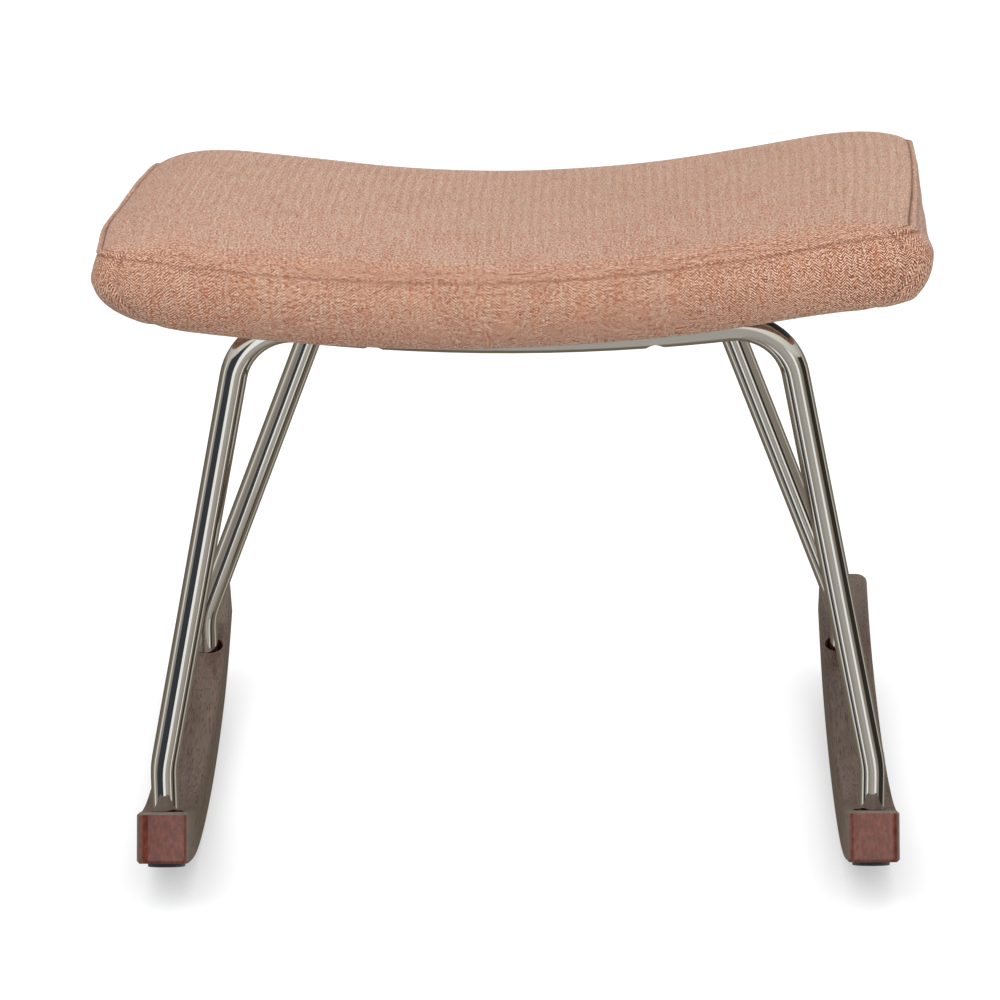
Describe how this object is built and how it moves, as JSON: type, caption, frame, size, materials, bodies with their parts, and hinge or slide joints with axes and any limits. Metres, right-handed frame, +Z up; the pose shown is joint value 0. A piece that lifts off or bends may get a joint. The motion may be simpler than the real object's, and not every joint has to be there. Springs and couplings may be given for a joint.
{
  "type": "rocking footstool",
  "caption": "Rocking footstool: a saddle-shaped upholstered seat on bent chromed tube frames, standing on curved timber rockers, for resting the feet beside a rocking chair.",
  "frame": {"origin": "on the floor under the middle of the stool, which is the bottom centre of its box", "axes": "+X across the stool along the seat's longer side, +Y to the back where the seat is lower, +Z up"},
  "size_m": [0.539, 0.4548, 0.4703],
  "materials": {
    "stained_wood": "satin",
    "chrome": "polished",
    "felt": "matte",
    "zinc_steel": "satin",
    "plywood": "matte",
    "black_plastic": "matte",
    "foam": "matte",
    "cover_cloth": "matte",
    "black_lining": "matte"
  },
  "bodies": {
    "root": {"rocker_left": "stained_wood", "rocker_right": "stained_wood", "glide_left": "felt", "glide_right": "felt", "front_frame": "chrome", "rear_frame": "chrome", "stub_plugs": "zinc_steel", "rocker_bolts": "zinc_steel", "rocker_washers": "zinc_steel", "seat_board": "plywood", "t_nuts": "zinc_steel", "bar_saddles": "black_plastic", "curved_washers": "zinc_steel", "seat_bolts": "zinc_steel", "seat_foam": "foam", "cover_top_panel": "cover_cloth", "cover_front_band": "cover_cloth", "cover_rear_band": "cover_cloth", "cover_left_band": "cover_cloth", "cover_right_band": "cover_cloth", "dust_lining": "black_lining", "staples": "zinc_steel"}
  },
  "joints": []
}
